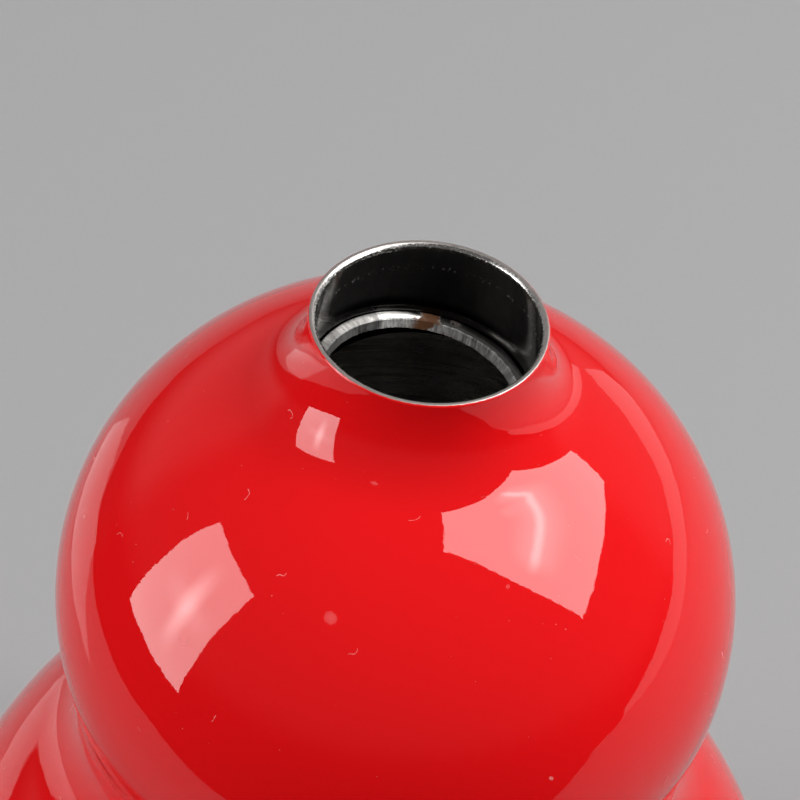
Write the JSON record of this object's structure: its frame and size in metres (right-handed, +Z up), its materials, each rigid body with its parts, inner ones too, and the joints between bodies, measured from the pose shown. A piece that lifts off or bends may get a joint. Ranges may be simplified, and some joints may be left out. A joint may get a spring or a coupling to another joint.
{
  "type": "vacuum flask body",
  "caption": "Gourd-shaped double-wall vacuum vessel with two rounded lobes, a smooth waist, a short open neck with a seal seat, and a recessed base on a soft ring",
  "frame": {"origin": "centre of the base pad's underside, on the surface that the vessel stands on", "axes": "+Z up along the vessel's axis; +X to the right and +Y away, seen from the front"},
  "size_m": [0.118, 0.118, 0.167],
  "materials": {
    "lacquer": "gloss",
    "ground_weld": "satin",
    "polished_steel": "polished",
    "pressed_steel": "satin",
    "plain_steel": "satin",
    "copper_foil": "polished",
    "getter_metal": "matte",
    "seal_glass": "gloss",
    "brushed_cover": "brushed",
    "soft_pad": "matte"
  },
  "bodies": {
    "root": {"outer_upper_shell": "lacquer", "outer_lower_shell": "lacquer", "waist_backing_band": "plain_steel", "rim_weld": "ground_weld", "mouth_tube": "polished_steel", "seat_ring": "pressed_steel", "liner_shoulder": "polished_steel", "liner_tube": "polished_steel", "liner_base_cup": "polished_steel", "foil_sleeve": "copper_foil", "foil_disc": "copper_foil", "liner_support": "plain_steel", "getter_pill": "getter_metal", "getter_clip": "plain_steel", "base_dish": "plain_steel", "vacuum_seal": "seal_glass", "base_cover": "brushed_cover", "base_pad": "soft_pad"}
  },
  "joints": []
}
